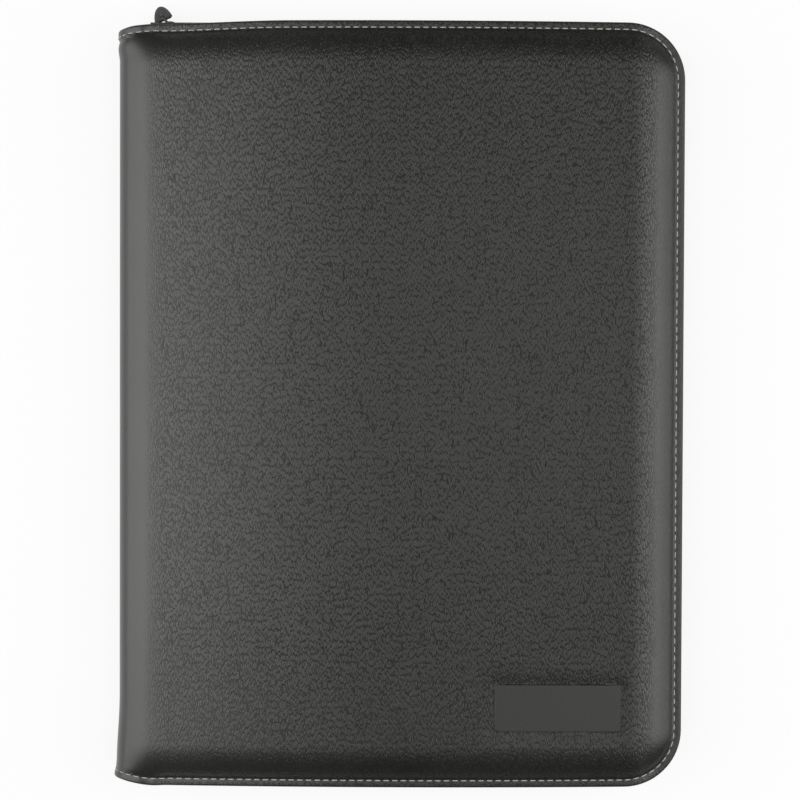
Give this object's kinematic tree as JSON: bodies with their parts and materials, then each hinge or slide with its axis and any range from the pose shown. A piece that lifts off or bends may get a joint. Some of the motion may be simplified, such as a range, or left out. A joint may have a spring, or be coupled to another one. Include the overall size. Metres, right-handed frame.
{
  "type": "business portfolio",
  "caption": "Closed zip-around A4 padfolio with padded covers on a rounded spine, stitched hems, zipper, inner pockets, pen loop and writing pad.",
  "frame": {"origin": "middle of the back cover's resting face, on the table", "axes": "+X from the spine to the opening edge, +Y along the spine to the top edge with the zip pull, +Z from the back cover to the front cover"},
  "size_m": [0.2532, 0.353, 0.027],
  "materials": {
    "leatherette": "pebbled grain, semi-matt black",
    "plate_leatherette": "smooth, semi-matt black",
    "pocket_leatherette": "fine grain, matt black",
    "lining_cloth": "twill weave, black",
    "foam": "matt foam",
    "grey_board": "raw grey board",
    "tape_cloth": "herringbone tape, black",
    "tooth_plastic": "moulded, satin",
    "gunmetal": "gunmetal plated, satin",
    "elastic": "ribbed elastic",
    "backing_card": "brown card",
    "white_paper": "uncoated, ruled",
    "binding": "gummed cloth strip"
  },
  "bodies": {
    "back_cover": {"back_cover_skin": "leatherette", "back_padding": "foam", "back_board": "grey_board", "back_lining": "lining_cloth", "back_zipper_tape": "tape_cloth", "back_teeth_top": "tooth_plastic", "back_teeth_side": "tooth_plastic", "back_top_stop": "gunmetal", "bottom_stop": "gunmetal", "pad_pocket": "pocket_leatherette", "pad_backing_card": "backing_card", "pad_sheets": "white_paper", "pad_binding": "binding"},
    "spine": {"spine_skin": "leatherette", "spine_padding": "foam", "spine_lining": "lining_cloth", "pen_loop": "elastic"},
    "front_cover": {"front_cover_skin": "leatherette", "name_plate": "plate_leatherette", "front_padding": "foam", "front_board": "grey_board", "front_lining": "lining_cloth", "front_zipper_tape": "tape_cloth", "front_teeth_top": "tooth_plastic", "front_teeth_side": "tooth_plastic", "front_top_stop": "gunmetal", "document_pocket": "pocket_leatherette", "card_pocket_1": "pocket_leatherette", "card_pocket_2": "pocket_leatherette", "card_pocket_3": "pocket_leatherette"},
    "slider": {"slider_body": "gunmetal"},
    "link": {"pull_link": "gunmetal"},
    "pull": {"pull_tab": "gunmetal"}
  },
  "joints": [
    {"name": "spine_fold", "type": "hinge", "parent": "back_cover", "child": "spine", "pos_m": [-0.12311, 0, 0.00289], "axis": [0, -1, 0], "range_deg": [0, 90]},
    {"name": "cover_fold", "type": "hinge", "parent": "spine", "child": "front_cover", "pos_m": [-0.12311, 0, 0.02411], "axis": [0, -1, 0], "range_deg": [0, 90]},
    {"name": "slider_travel", "type": "slide", "parent": "back_cover", "child": "slider", "axis": [1, 0, 0], "range_m": [0, 0.19], "deforming": ["front_teeth_top", "back_teeth_top"]},
    {"name": "link_swing", "type": "hinge", "parent": "slider", "child": "link", "pos_m": [-0.1047, 0.17025, 0.0135], "axis": [0, 0, 1], "range_deg": [-76, 10]},
    {"name": "tab_tilt", "type": "hinge", "parent": "link", "child": "pull", "pos_m": [-0.10704, 0.17324, 0.0135], "axis": [0.9063, 0.4226, 0], "range_deg": [0, 86]}
  ],
  "couplings": [
    {"joint": "spine_fold", "follows": "cover_fold", "ratio": 1}
  ]
}
